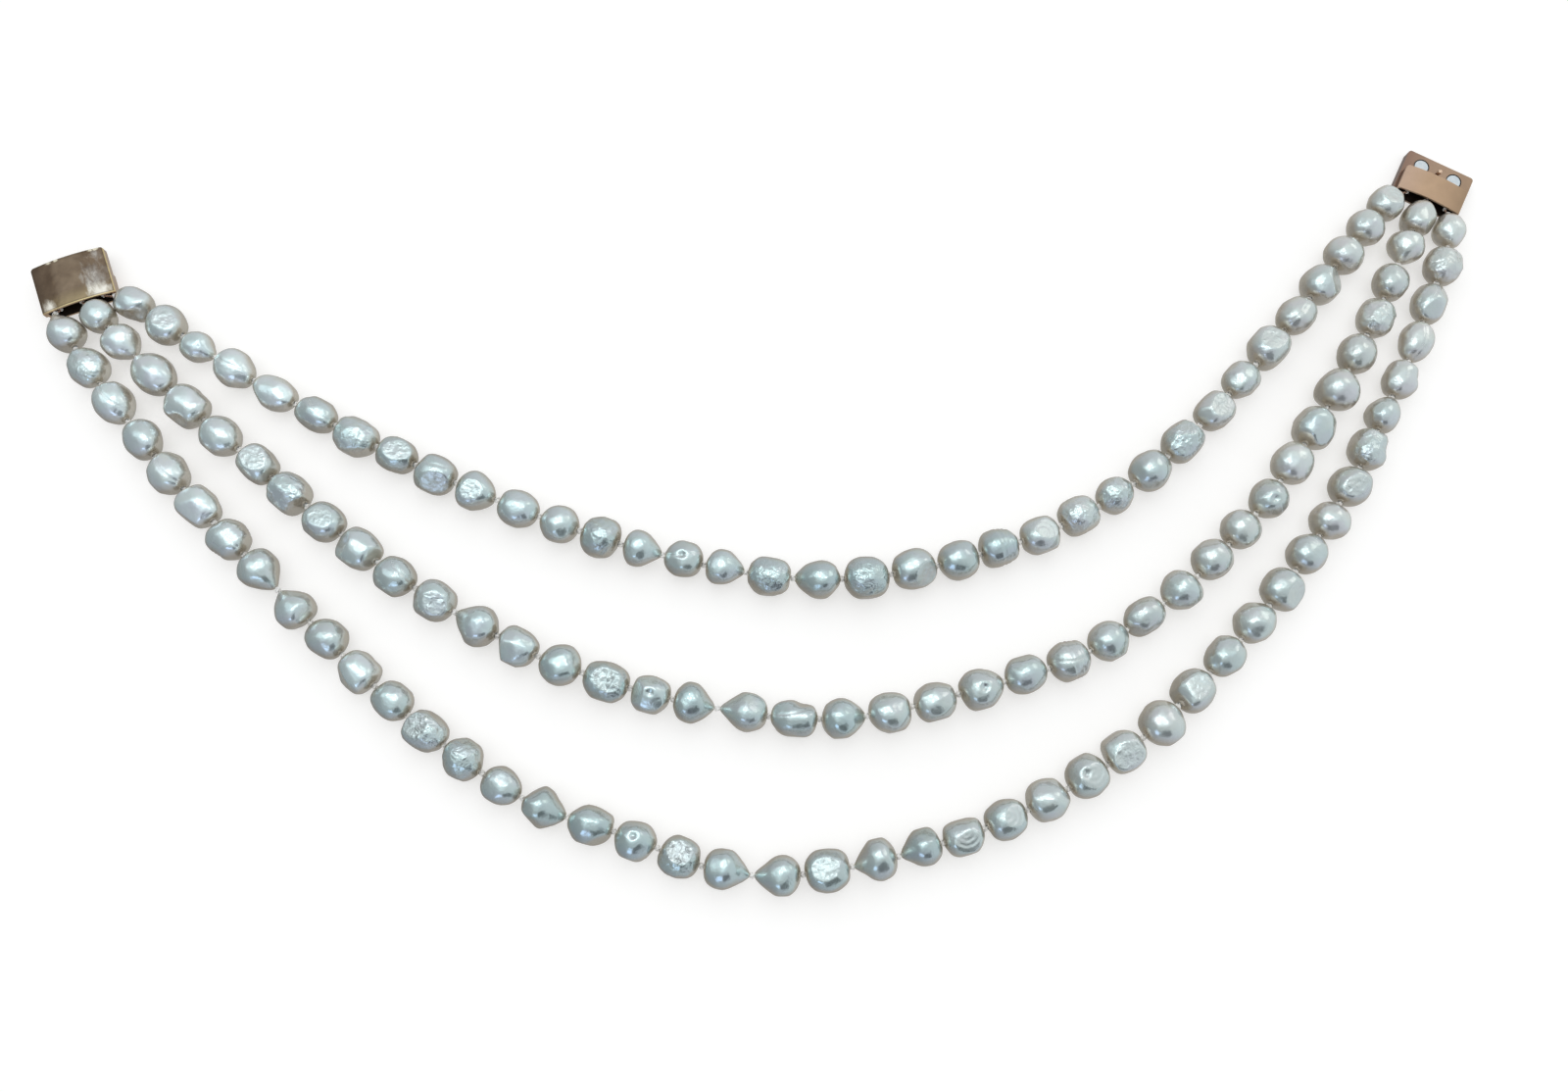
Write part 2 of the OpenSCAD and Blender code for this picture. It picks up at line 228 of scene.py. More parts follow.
def waves(rng, length, count=7):
    """A smooth random function of place, about -1 to 1, with waves of about that length."""
    way = rng.normal(size=(count, 3))
    pace = 2 * math.pi / length * rng.uniform(0.7, 1.4, count)
    way *= (pace / np.linalg.norm(way, axis=1))[:, None]
    phase = rng.uniform(0, 2 * math.pi, count)
    return lambda p: np.sin(p @ way.T + phase).sum(1) / math.sqrt(count)


def ridged(f, p):
    """Sharp ridges where a smooth function crosses 0."""
    return 1 - 2 * np.abs(np.clip(f(p), -1, 1))


def wrinkles(rng, p, length):
    """Ridges of about that length, with finer ones between them."""
    return ridged(waves(rng, length), p) + 0.5 * ridged(waves(rng, 0.5 * length), p)


def facet(p, normal, distance, soft):
    """Flattens what lies beyond a plane, with a soft edge. Returns how far it lay beyond."""
    n = unit(np.array(normal, float))
    over = np.maximum(p @ n - distance, 0)
    p -= (over - soft * (1 - np.exp(-over / soft)))[:, None] * n
    return over


def flat(p, r, n, distance, soft):
    """Flattens the pearl across n. Returns 1 on the flat and less towards its edge."""
    over = facet(p, n, distance * r, soft * r)
    return np.clip(over / (FLAT_FADE * r), 0, 1)


def dent(p, way, r, relief):
    """A soft dent, or a mound where the depth is negative. Returns its strength at each point."""
    depth, wide = relief
    way = unit(np.array(way, float))
    gap = ((p - way * r) ** 2).sum(1)
    fall = np.exp(-gap / (2 * (wide * r) ** 2))
    p -= (depth * r * fall)[:, None] * way
    return fall


def taper(p, form, half):
    """Draws an end out to a neck or a cone."""
    for letter, turn, share in TAPERS:
        if letter in form:
            far = np.clip(turn * p[:, 0] / half, 0, 0.99) ** 2
            p[:, 1:] *= (1 - share * (1 - np.sqrt((1 - far) / (1 + far))))[:, None]


def swell(p, half, r, bow, rng):
    """Bows the pearl sideways and makes it uneven, in broad and then in finer swellings."""
    p[:, 1] += rng.uniform(-1, 1) * bow * r * (1 - (p[:, 0] / half) ** 2)
    for high, wide in SWELLINGS:
        p *= 1 + high * waves(rng, wide * r)(p)[:, None]


def small_facets(p, form, r, rng):
    """Facets at random places on the upper half."""
    count, least, most, soft = MANY_FACETS if "k" in form else FEW_FACETS
    for _ in range(count):
        away = rng.normal(size=3) * [0.6, 1, 1]
        away[2] = abs(away[2])
        facet(p, away, rng.uniform(least, most) * r, soft * r)


# Each form below changes the points and returns how much rougher and paler it makes them.
# Where it needs a direction, n is the one that the pearl's flat face looks in.


def wrinkled_face(p, r, n, rng):
    high, wide = FACE_WRINKLES
    mask = flat(p, r, n, rng.uniform(FACE_NEAR, FACE_FAR), FACE_SOFT)
    p += (high * r * mask * wrinkles(rng, p, wide * r))[:, None] * n
    return 0.8 * mask, 0.6 * mask


def ringed_face(p, r, n, rng):
    high, wide = FACE_RINGS
    mask = flat(p, r, n, rng.uniform(FACE_NEAR, FACE_FAR), FACE_SOFT)
    eye = np.array([rng.uniform(-0.2, 0.2) * r, rng.uniform(-0.2, 0.2) * r, 0])
    spread = np.linalg.norm((p - eye)[:, :2], axis=1)
    p += (high * r * mask * np.cos(spread * 2 * math.pi / (wide * r)))[:, None] * n
    return 0.3 * mask, 0.6 * mask


def wrinkled_top(p, r, n, rng):
    high, wide = TOP_WRINKLES
    mask = np.clip(p[:, 2] / r + 0.2, 0, 1)
    p *= 1 + (high * mask * wrinkles(rng, p, wide * r))[:, None]
    return 0.8 * mask, 0


def grooves(p, r, n, rng):
    deep, wide = GROOVE
    for k in range(3):
        at = (GROOVE_START + GROOVE_STEP * k) * r + 0.06 * p[:, 1]
        p[:, 1:] *= 1 - (deep * np.exp(-(((p[:, 0] - at) / (wide * r)) ** 2)))[:, None]
    return 0, 0


def crease(p, r, n, rng):
    deep, wide = CREASE
    at = rng.uniform(-0.3, 0.3) * r + rng.uniform(-0.5, 0.5) * p[:, 0] + 0.05 * p[:, 0] ** 2
    line = np.exp(-(((p[:, 1] - at) / (wide * r)) ** 2)) * np.clip(p[:, 2] / r, 0, 1)
    p *= 1 - (deep * line)[:, None]
    return 0, 0.5 * line


def pit(p, r, n, rng):
    way = [rng.uniform(-0.4, 0.1), rng.uniform(-0.3, 0.3), 1]
    dent(p, way, r, MOUND)
    return 0.5 * dent(p, way, r, PIT), 0


def lobes(p, r, n, rng):
    way = [rng.uniform(0.2, 0.7) * rng.choice([-1, 1]), rng.choice([-1, 1]), 0.4]
    dent(p, way, r, NOTCH)
    return 0, 0


def flat_side(p, r, n, rng):
    high, wide = SIDE_WRINKLES
    n = unit(np.array([rng.uniform(-0.2, 0.5), -0.6, 0.7]))
    mask = flat(p, r, n, SIDE_FACE, SIDE_SOFT)
    p += (high * r * mask * wrinkles(np.random.default_rng(5), p, wide * r))[:, None] * n
    return 0.3 * mask, 0.6 * mask


# Each letter's form, in the order in which the forms are made
LETTERS = {
    "f": wrinkled_face,
    "r": ringed_face,
    "w": wrinkled_top,
    "g": grooves,
    "c": crease,
    "p": pit,
    "l": lobes,
    "d": flat_side,
}


def sculpt(p, form, half, r, bow, rng):
    """Gives a turned pearl its form. Returns how wrinkled and how pale it is, point by point."""
    rough = np.zeros(len(p))
    pale = np.zeros(len(p))
    taper(p, form, half)
    swell(p, half, r, bow, rng)
    n = unit(np.array([rng.uniform(-0.35, 0.35), rng.uniform(-0.25, 0.35), 1.0]))
    small_facets(p, form, r, rng)
    for letter, shape in LETTERS.items():
        if letter in form:
            rougher, paler = shape(p, r, n, rng)
            rough += rougher
            pale += paler
    for turn in (-1, 1):
        facet(p, [0, turn, 0], WIDEST * r, FACE_SOFT * r)
    return rough, pale


def into_hole(ring, turn):
    """Two more rings of points that lead from an end ring into the thread's hole."""
    lip = ring * [1, LIP_SHARE, LIP_SHARE]
    lip[:, 0] += turn * LIP_DEEP
    deep = lip * [1, HOLE_SHARE, HOLE_SHARE]
    deep[:, 0] += turn * HOLE_DEEP
    return lip, deep


def pearl_points(pearl, form, bow, rng):
    """Points of a whole pearl in the scene, with how wrinkled and how pale each one is."""
    p = pearl.rings()
    rough, pale = sculpt(p, form, pearl.half, pearl.r, bow, rng)
    rings = p.reshape(RINGS, SIDES, 3)
    left_lip, left_deep = into_hole(rings[0], 1)
    right_lip, right_deep = into_hole(rings[-1], -1)
    p = np.concatenate([left_deep, left_lip, p, right_lip, right_deep])
    pad = np.zeros(2 * SIDES)
    rough = np.concatenate([pad, rough, pad])
    pale = np.concatenate([pad, pale, pad])
    points = pearl.centre + p @ pearl.axes
    points[:, 2] = np.maximum(points[:, 2], LOWEST)
    return points, rough, pale


def pearl_faces(first):
    """Faces of one pearl from its first point on: the rings, and the floors of its holes."""
    grid = np.arange((RINGS + 4) * SIDES).reshape(RINGS + 4, SIDES) + first
    a, b = grid[:-1], grid[1:]
    quads = np.stack([a, np.roll(a, -1, 1), np.roll(b, -1, 1), b], 2)
    floors = [grid[0].tolist(), grid[-1, ::-1].tolist()]
    return quads[:, :, ::-1].reshape(-1, 4).tolist() + floors


def read_pearls(strand):
    """A string's pearls, from left to right."""
    parts = loose_parts("pearls_" + strand)
    middles = [(p.min(0) + p.max(0)) / 2 for p in parts]
    last = len(parts) - 1
    return [
        Pearl(p, middles[max(i - 1, 0)], middles[min(i + 1, last)])
        for i, p in enumerate(parts)
    ]


def make_pearls(strand, nacre):
    """All pearls of a string in one mesh. Returns their places for the silk."""
    pearls = read_pearls(strand)
    rng = np.random.default_rng(7 + STRANDS.index(strand))
    verts, faces, looks = [], [], []
    for i, (pearl, form) in enumerate(zip(pearls, FORMS[strand].split())):
        bow = BOW if STRAIGHT_END <= i < len(pearls) - STRAIGHT_END else 0
        points, rough, pale = pearl_points(pearl, form, bow, rng)
        # The tone carries painted light along the necklace, with a random spread
        tone = 0.5 + TONE_SLOPE * pearl.centre[0] * MM + rng.uniform(-TONE_SPREAD, TONE_SPREAD)
        count = len(points)
        tones = np.full(count, np.clip(tone, 0, 1))
        shades = np.full(count, rng.uniform())
        verts.append(points)
        faces += pearl_faces(i * count)
        looks.append(np.stack([tones, shades, rough, pale], 1))
    obj = new_mesh("pearls_" + strand + "_nacre", np.concatenate(verts), faces)
    look = obj.data.attributes.new("look", "FLOAT_COLOR", "POINT")
    look.data.foreach_set("color", np.concatenate(looks).astype(np.float32).ravel())
    obj.data.materials.append(nacre)
    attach(obj, "root")
    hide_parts("pearls_" + strand)
    return pearls


# Silk, and the copper coils that guard it

PLY_R = 0.15
PLY_OFF = 0.13
PLY_PITCH = 1.3
PLY_STEP = 0.13
# How far the silk reaches into each pearl
SILK_IN = 0.5
KNOT_STEP = 0.19
KNOT_HALF = 0.34
KNOT_PLY_R = 0.25
KNOT_TILT = 0.3
EYE_WIRE_R = 0.4
COIL_R = 0.24
COIL_WIRE_R = 0.08
COIL_PITCH = 0.2
# A direction that no thread runs in
SLANT = (0.31, 0.17, 0.94)

# Ties to the clasp: how far the silk reaches into the end pearl, the distances from the
# pearl at which the knot and the coil begin, and the longest tie that has its coil at the
# eye alone
TIE_IN = 0.4
TIE_KNOT = 0.5
SLEEVE_START = 1.1
BARE_TIE = 1.6
TIE_KNOT_SIZE = 0.9
EYE_KNOT_SIZE = 0.7
# Angle in radians that the loop round an eye leaves open on each side of its knot
LOOP_GAP = 0.25


def along(path):
    """Each point of a path with two directions across it, which don't twist."""
    path = np.asarray(path, float)
    ways = np.gradient(path, axis=0)
    ways /= np.linalg.norm(ways, axis=1)[:, None]
    side = np.cross(ways[0], SLANT)
    for point, way in zip(path, ways):
        side = unit(side - way * (side @ way))
        yield point, side, np.cross(way, side)


def even(path, step):
    """The path again with points a step apart, and how far along it each one lies."""
    path = np.asarray(path, float)
    run = np.concatenate([[0], np.cumsum(np.linalg.norm(np.diff(path, axis=0), axis=1))])
    fine = np.linspace(0, run[-1], max(6, int(run[-1] / step)))
    return np.stack([np.interp(fine, run, path[:, k]) for k in range(3)], 1), fine


def tube(path, r, sides):
    """Points and faces of a round tube along a path, closed at both ends."""
    turn = np.linspace(0, 2 * math.pi, sides, endpoint=False)
    verts = [
        point + r * (np.outer(np.cos(turn), side) + np.outer(np.sin(turn), up))
        for point, side, up in along(path)
    ]
    last = (len(verts) - 1) * sides
    faces = []
    for ring in range(0, last, sides):
        for k in range(sides):
            after = (k + 1) % sides
            faces.append([ring + k, ring + after, ring + sides + after, ring + sides + k])
    faces.append(list(range(sides))[::-1])
    faces.append(list(range(last, last + sides)))
    return np.concatenate(verts), faces


def wound(path, r, pitch, start, step):
    """A path that winds round another one."""
    line, runs = even(path, step)
    turned = []
    for (point, side, up), run in zip(along(line), runs):
        a = start + 2 * math.pi * run / pitch
        turned.append(point + r * (math.cos(a) * side + math.sin(a) * up))
    return turned


class Parts:
    """Gathers the points and faces of several closed pieces."""

    def __init__(self):
        self.verts = []
        self.faces = []
        self.count = 0

    def add(self, verts, faces):
        self.verts.append(verts)
        self.faces += [[k + self.count for k in face] for face in faces]
        self.count += len(verts)

    def mesh(self, name):
        return new_mesh(name, np.concatenate(self.verts), self.faces)


def across(way):
    """Two directions across a third, the first of them level."""
    side = unit(np.cross(way, [0.0, 0.0, 1.0]))
    return side, np.cross(side, way)


def twist(parts, path):
    """The doubled thread: two plies that turn round each other."""
    for start in (0, math.pi):
        parts.add(*tube(wound(path, PLY_OFF, PLY_PITCH, start, PLY_STEP), PLY_R, 7))


def knot(parts, middle, way, rng, size=1.0):
    """An overhand knot, drawn tight and turned at random."""
    side, up = across(way)
    lean = rng.uniform(-KNOT_TILT, KNOT_TILT) * side
    way = unit(way + lean + rng.uniform(-KNOT_TILT, KNOT_TILT) * up)
    side, up = across(way)
    start = rng.uniform(0, 2 * math.pi)
    c, s = math.cos(start), math.sin(start)
    side, up = side * c + up * s, up * c - side * s
    line = []
    for t in np.linspace(0, 2 * math.pi, 49):
        a = KNOT_STEP * (math.sin(t) + 2 * math.sin(2 * t))
        b = KNOT_STEP * (math.cos(t) - 2 * math.cos(2 * t))
        line.append(middle + size * (a * side + b * up - KNOT_HALF * math.sin(3 * t) * way))
    parts.add(*tube(line, KNOT_PLY_R * size, 8))


# Where the middle of each half's mouth lies, and its turn in degrees
COVER = (-169.51, 46.42, 21)
BASE = (168.74, 78.87, -27)
# The eyes in a half's own frame, and which eye each string has in the cover and in the base
EYE_SPACE = 5.267
EYE_Y = 2.4
EYE_Z = 2.7
TIE_Y = 0.96
EYES = {"inner": (1, -1), "middle": (0, 0), "outer": (-1, 1)}


def in_half(place, p):
    """A point of a clasp half's own frame, in the scene."""
    x, y, turn = place
    c, s = math.cos(math.radians(turn)), math.sin(math.radians(turn))
    return np.array([x + p[0] * c - p[1] * s, y + p[0] * s + p[1] * c, p[2]])


def tie(parts, coils, place, eye, pearl_end, rng):
    """Silk from the end pearl round an eye of the clasp, guarded by a coil of fine wire."""
    x = eye * EYE_SPACE
    tied = in_half(place, (x, TIE_Y, EYE_Z))
    way = unit(tied - pearl_end)
    twist(parts, [pearl_end - way * TIE_IN, tied])
    knot(parts, pearl_end + way * TIE_KNOT, way, rng, TIE_KNOT_SIZE)
    knot(parts, tied, way, rng, EYE_KNOT_SIZE)
    r = EYE_WIRE_R + COIL_R + COIL_WIRE_R
    loop = [tied]
    for a in np.linspace(LOOP_GAP, 2 * math.pi - LOOP_GAP, 60):
        loop.append(in_half(place, (x, EYE_Y - r * math.cos(a), EYE_Z + r * math.sin(a))))
    loop.append(tied)
    twist(parts, loop)
    if np.linalg.norm(tied - pearl_end) > BARE_TIE:
        loop = [pearl_end + way * SLEEVE_START] + loop
    coil = wound(loop, COIL_R, COIL_PITCH, 0, COIL_PITCH / 10)
    coils.add(*tube(coil, COIL_WIRE_R, 5))


def make_silk(strand, pearls, silk, copper):
    """A string's silk with a knot between each two pearls, and the coils at its two ends."""
    rng = np.random.default_rng(31 + STRANDS.index(strand))
    parts, coils = Parts(), Parts()
    for a, b in zip(pearls[:-1], pearls[1:]):
        middle = (a.right + b.left) / 2
        way = unit(b.left - a.right)
        inside = [a.right - a.way * SILK_IN, b.left + b.way * SILK_IN]
        twist(parts, [inside[0], a.right, middle, b.left, inside[1]])
        knot(parts, middle, way, rng)
    tie(parts, coils, COVER, EYES[strand][0], pearls[0].left, rng)
    tie(parts, coils, BASE, EYES[strand][1], pearls[-1].right, rng)
    obj = parts.mesh("silk_" + strand)
    obj.data.materials.append(silk)
    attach(obj, "root")
    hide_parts("thread_" + strand)
    obj = coils.mesh("eye_coils_" + strand)
    obj.data.materials.append(copper)
    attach(obj, "root")


# Clasp

CLASP_W = 18.0
HALF_LEN = 12.5
PLATE_HEIGHT = 5.4
ARCH_R = 41.0
SHEET = 0.5
# The hollow behind a half's mouth
MOUTH_HALF = 7.95
MOUTH_START = 0.1
MOUTH_END = 6.6
MOUTH_FLOOR = 0.45
# What tells the faces of the eyes' wire from the walls of the hollow
WIRE_START = 1.9
WIRE_HALF = 0.45
WIRE_AREA = 1.5
# The base's raised box: half its width, and the heights between which its colour begins
BOX_HALF = 8.4
BOX_LOW = 3.3
BOX_HIGH = 3.6
# Widths of the broken edges
COVER_EDGE = 0.28
BASE_EDGE = 0.15
MAGNET_EDGE = 0.25
# Angles in degrees: faces that count as one, edges that are broken, edges shaded sharp
FLAT_ANGLE = 1
SHARP_ANGLE = 35
SHADE_ANGLE = 40
# Points nearer than this, in metres, are merged
MERGE = 2e-6

BODY, MOUTH, EYE, EDGE = range(4)


def clasp_zone(p, area):
    """Which surface a face of a clasp half belongs to, from its middle in the half's own frame."""
    roof = PLATE_HEIGHT - ARCH_R + math.sqrt(ARCH_R**2 - p.x**2) - 0.6 * SHEET
    level = MOUTH_START < p.y < MOUTH_END and MOUTH_FLOOR < p.z < roof
    if not (level and abs(p.x) < MOUTH_HALF):
        return BODY
    wire = abs(p.z - EYE_Z) < WIRE_HALF and p.y > WIRE_START and area < WIRE_AREA
    return EYE if wire else MOUTH


def plain_zone(p, area):
    """Every face belongs to the body."""
    return BODY


def half_frame(place):
    """The matrix from the scene to a clasp half's own frame, both in metres."""
    x, y, turn = place
    there = Matrix.Translation((x * MM, y * MM, 0))
    return (there @ Matrix.Rotation(math.radians(turn), 4, "Z")).inverted()


def break_edges(bm, width):
    """Merges a CAD mesh's flat faces and rounds its sharp edges."""
    bmesh.ops.remove_doubles(bm, verts=bm.verts, dist=MERGE)
    one = math.radians(FLAT_ANGLE)
    bmesh.ops.dissolve_limit(bm, angle_limit=one, verts=bm.verts, edges=bm.edges)
    limit = math.radians(SHARP_ANGLE)
    sharp = [e for e in bm.edges if len(e.link_faces) == 2 and e.calc_face_angle(0) > limit]
    bmesh.ops.bevel(
        bm,
        geom=sharp,
        offset=width * MM,
        segments=3,
        profile=0.5,
        affect="EDGES",
        clamp_overlap=True,
        material=EDGE,
    )


def bevelled(node, place, name, width, surfaces, zone):
    """A copy of a CAD node with rounded edges. Zone sorts its faces by surface."""
    bm = bmesh.new()
    bm.from_mesh(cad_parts[node].data)
    break_edges(bm, width)
    to_half = half_frame(place)
    for face in bm.faces:
        face.smooth = True
        found = zone(to_half @ face.calc_center_median() / MM, face.calc_area() / MM**2)
        if found != BODY or face.material_index != EDGE:
            face.material_index = found
    spots = [tuple(to_half @ v.co / MM) for v in bm.verts]
    mesh = bpy.data.meshes.new(name)
    bm.to_mesh(mesh)
    bm.free()
    half = mesh.attributes.new("half", "FLOAT_VECTOR", "POINT")
    half.data.foreach_set("vector", np.array(spots, np.float32).ravel())
    obj = bpy.data.objects.new(name, mesh)
    bpy.context.scene.collection.objects.link(obj)
    for surface in surfaces:
        mesh.materials.append(surface)
    mesh.set_sharp_from_angle(angle=math.radians(SHADE_ANGLE))
    obj.modifiers.new("normals", "WEIGHTED_NORMAL").keep_sharp = True
    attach(obj, "root")
    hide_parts(node)


# Materials

# Painted reflections on the cover, a milky sheen and bright highlights; for each patch its middle and
# half size, across, in from the mouth, and up
SIDE_PAINTED_SHEEN = ((5.4, 4.0, 5.0), (5.2, 9.0, 9.0))
CORNER_PAINTED_SHEEN = ((7.0, 11.0, 5.0), (2.4, 3.0, 9.0))
LEFT_CORNER_HIGHLIGHT = ((-6.8, 1.0, 5.0), (2.8, 3.0, 9.0))
RIGHT_MOUTH_HIGHLIGHT = ((5.6, 1.2, 5.0), (4.4, 3.6, 9.0))
# Painted highlights in flecks on the cover's far edge: place across, and half length
FLECKS = ((-4.2, 1.3), (-2.3, 1.2), (5.9, 1.0), (7.3, 1.2))
# The pin's foot and ball, as heights in metres, between which its painted shadow turns to its painted
# highlight
PIN_FOOT = 0.0034
PIN_BALL = 0.0041


class Shader:
    """A material under construction."""

    def __init__(self, name):
        self.material = bpy.data.materials.new(name)
        self.material.use_nodes = True
        self.tree = self.material.node_tree
        self.bsdf = self.tree.nodes["Principled BSDF"]

    def add(self, kind, inputs=None, **settings):
        node = self.tree.nodes.new("ShaderNode" + kind)
        for key, value in settings.items():
            setattr(node, key, value)
        for key, value in (inputs or {}).items():
            self.set(node.inputs[key], value)
        return node

    def set(self, socket, value):
        if isinstance(value, bpy.types.NodeSocket):
            self.tree.links.new(value, socket)
        else:
            socket.default_value = value

    def math(self, operation, a, b=0.0):
        return self.add("Math", {0: a, 1: b}, operation=operation).outputs[0]

    def plus(self, a, b):
        return self.math("ADD", a, b)

    def minus(self, a, b):
        return self.math("SUBTRACT", a, b)

    def times(self, a, b):
        return self.math("MULTIPLY", a, b)

    def most(self, a, b):
        return self.math("MAXIMUM", a, b)

    def least(self, a, b):
        return self.math("MINIMUM", a, b)

    def vector(self, operation, a, b):
        return self.add("VectorMath", {0: a, 1: b}, operation=operation).outputs["Vector"]

    def noise(self, scale, detail):
        """Noise that is fixed to the piece, its scale in waves a metre."""
        place = self.add("TexCoord").outputs["Object"]
        return self.add("TexNoise", {"Vector": place, "Scale": scale, "Detail": detail}).outputs["Fac"]

    def separate(self, vector):
        return self.add("SeparateXYZ", {"Vector": vector}).outputs

    def ramp(self, value, stops):
        """A colour ramp: stops of (place, colour)."""
        node = self.add("ValToRGB", {"Fac": value})
        elements = node.color_ramp.elements
        while len(elements) < len(stops):
            elements.new(0.5)
        for element, (place, colour) in zip(elements, stops):
            element.position = place
            element.color = (*colour, 1)
        return node.outputs["Color"]

    def mix(self, factor, a, b, blend="MIX"):
        """Two colours mixed: a at factor 0, b at factor 1."""
        node = self.add("Mix", data_type="RGBA", blend_type=blend)
        self.set(node.inputs["Factor"], factor)
        for key, value in ((6, a), (7, b)):
            is_socket = isinstance(value, bpy.types.NodeSocket)
            self.set(node.inputs[key], value if is_socket else (*value, 1))
        return node.outputs[2]

    def span(self, value, low, high):
        """Value mapped to 0 at low and 1 at high, clamped."""
        node = self.add("MapRange", {"Value": value, "From Min": low, "From Max": high})
        return node.outputs[0]

    def bump(self, height, strength, distance):
        inputs = {"Height": height, "Strength": strength, "Distance": distance}
        return self.add("Bump", inputs).outputs["Normal"]

    def surface(self, **inputs):
        """Sets the shader's inputs, with _ for a space in their names. Returns the material."""
        for key, value in inputs.items():
            self.set(self.bsdf.inputs[key.replace("_", " ")], value)
        return self.material


def nacre_colour(s, tone, shade, pale, speck):
    """Grey-blue body with faint overtones and a painted reflection that cools the near side and warms
    the far side, and a warm dark rim where the pearl turns away, which is painted shade and a painted
    reflection of a warm table.
    """
    normal = s.separate(s.add("TexCoord").outputs["Normal"])
    # Painted light along the necklace: bright and bluish at the left end, darker in the middle, light
    # warm grey at the right
    body = s.ramp(
        tone,
        [(0.0, (0.91, 0.99, 1.0)), (0.5, (0.58, 0.695, 0.705)), (1.0, (0.84, 0.87, 0.85))],
    )
    # Cloudy overtones, with a painted reflection: bluish on the near side and warm on the far side of
    # each pearl
    overtone_and_painted_reflection = s.ramp(
        s.plus(s.times(normal["Y"], 0.5), s.noise(170.0, 3.0)),
        [
            (0.10, (0.88, 0.89, 1.00)),
            (0.35, (0.88, 0.97, 1.00)),
            (0.55, (0.94, 1.00, 0.99)),
            (0.75, (0.99, 0.96, 1.00)),
            (0.95, (1.00, 0.97, 0.92)),
        ],
    )
    colour = s.mix(0.8, body, overtone_and_painted_reflection, "MULTIPLY")
    colour = s.mix(s.times(shade, 0.16), colour, (0.36, 0.39, 0.39))
    colour = s.mix(s.times(speck, 0.04), colour, (1.0, 1.0, 1.0))
    colour = s.mix(s.times(pale, 0.4), colour, (0.80, 0.83, 0.82))
    # Painted shade and painted reflection of a warm table: the colour turns warm and darker where the
    # pearl turns away from the top
    low = s.span(normal["Z"], 0.72, 0.3)
    rim = s.mix(shade, (0.64, 0.575, 0.475), (0.52, 0.455, 0.36))
    return s.mix(s.times(low, 0.85), colour, rim)


def nacre_relief(s, rough):
    """Fine ripples everywhere, and crumpled skin where the pearl is rough."""
    crumple = s.add(
        "TexNoise",
        {
            "Vector": s.add("TexCoord").outputs["Object"],
            "Scale": 620.0,
            "Detail": 2.5,
            "Distortion": 0.8,
        },
        noise_type="RIDGED_MULTIFRACTAL",
    )
    ripple = s.plus(s.noise(450.0, 2.0), s.times(s.noise(1100.0, 2.0), 0.45))
    height = s.plus(s.times(crumple.outputs["Fac"], rough), ripple)
    return s.bump(height, s.plus(s.times(rough, 1.5), 0.75), 0.00016)


def make_nacre():
    """Silvery nacre, cloudy and finely wrinkled: cool on top, and warm and darker towards the rim,
    where that is painted shade and a painted reflection of a warm table.
    """
    s = Shader("nacre")
    look = s.add("Attribute", attribute_name="look")
    tone, shade, rough = s.add("SeparateColor", {"Color": look.outputs["Color"]}).outputs
    pale = look.outputs["Alpha"]
    speck = s.span(s.noise(900.0, 3.0), 0.3, 0.7)
    gloss = s.plus(s.times(speck, 0.06), 0.2)
    far = s.math("ABSOLUTE", s.minus(tone, 0.5))
    return s.surface(
        Base_Color=nacre_colour(s, tone, shade, pale, speck),
        Metallic=s.minus(0.78, s.times(far, 0.2)),
        Roughness=s.plus(gloss, s.times(pale, 0.15)),
        Specular_Tint=(0.80, 0.75, 0.66, 1),
        Normal=nacre_relief(s, rough),
        Coat_Weight=0.6,
        Coat_IOR=1.6,
        Coat_Roughness=0.08,
    )


def make_plain(name, colour, metallic, roughness):
    """One colour, slightly cloudy."""
    s = Shader(name)
    tint = s.ramp(s.noise(300.0, 2.0), [(0.3, [c * 0.9 for c in colour]), (0.7, colour)])
    return s.surface(Base_Color=tint, Metallic=metallic, Roughness=roughness)


def half_place(s):
    """Place on a clasp half in millimetres: across, in from the mouth, and up."""
    return s.add("Attribute", attribute_name="half").outputs["Vector"]


def patch(s, spot, middle, size):
    """1 in the middle of an oval patch on a clasp half, 0 at its edge."""
    scaled = s.vector("DIVIDE", s.vector("SUBTRACT", spot, middle), size)
    length = s.add("VectorMath", {0: scaled}, operation="LENGTH").outputs["Value"]
    return s.span(length, 1.0, 0.0)


def brown_and_painted_reflection(s, spot, top):
    """The cover's ground: cloudy brown, with a painted reflection that makes it golden towards the
    mouth and darker at the left, and copper on its walls.
    """
    sideways, inward, _ = s.separate(spot)
    brown = s.ramp(s.noise(300.0, 3.0), [(0.3, (0.21, 0.14, 0.09)), (0.7, (0.32, 0.225, 0.15))])
    # Painted reflection: golden towards the mouth, and darker at the left
    brown = s.mix(s.span(inward, 4.0, 0.0), brown, (0.42, 0.31, 0.17))
    left = s.times(s.span(sideways, -6.5, -9.0), 0.5)
    brown = s.mix(left, brown, (0.18, 0.13, 0.09))
    return s.mix(top, (0.56, 0.37, 0.22), brown)


